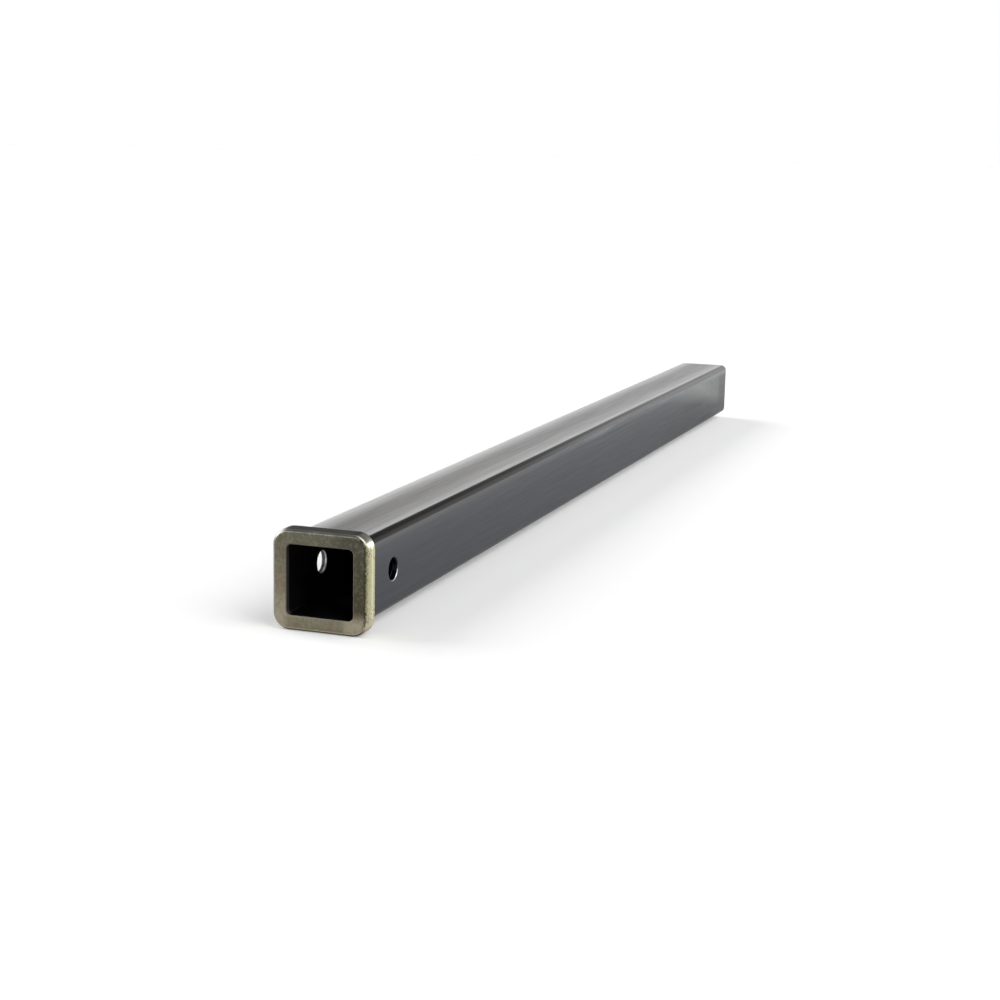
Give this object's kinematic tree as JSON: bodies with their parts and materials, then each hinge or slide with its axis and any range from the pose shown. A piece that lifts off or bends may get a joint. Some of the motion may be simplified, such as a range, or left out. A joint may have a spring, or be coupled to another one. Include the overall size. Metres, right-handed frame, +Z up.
{
  "type": "receiver tube",
  "caption": "Long square steel tube with a thick rounded collar round its mouth and a cross hole for a hitch pin; a towing bar slides in and is pinned.",
  "frame": {"origin": "centre of the cross pin hole, on the tube's axis", "axes": "+Y along the tube from its mouth to its sawn rear end, +Z up, +X along the pin hole"},
  "size_m": [0.0762, 1.2192, 0.0762],
  "materials": {
    "mill_steel": "bare drawn steel, dark and slightly glossy",
    "zinc_collar": "satin steel with a thin yellow-green plating"
  },
  "bodies": {
    "root": {"receiver_tube": "mill_steel", "mouth_collar": "zinc_collar"}
  },
  "joints": []
}
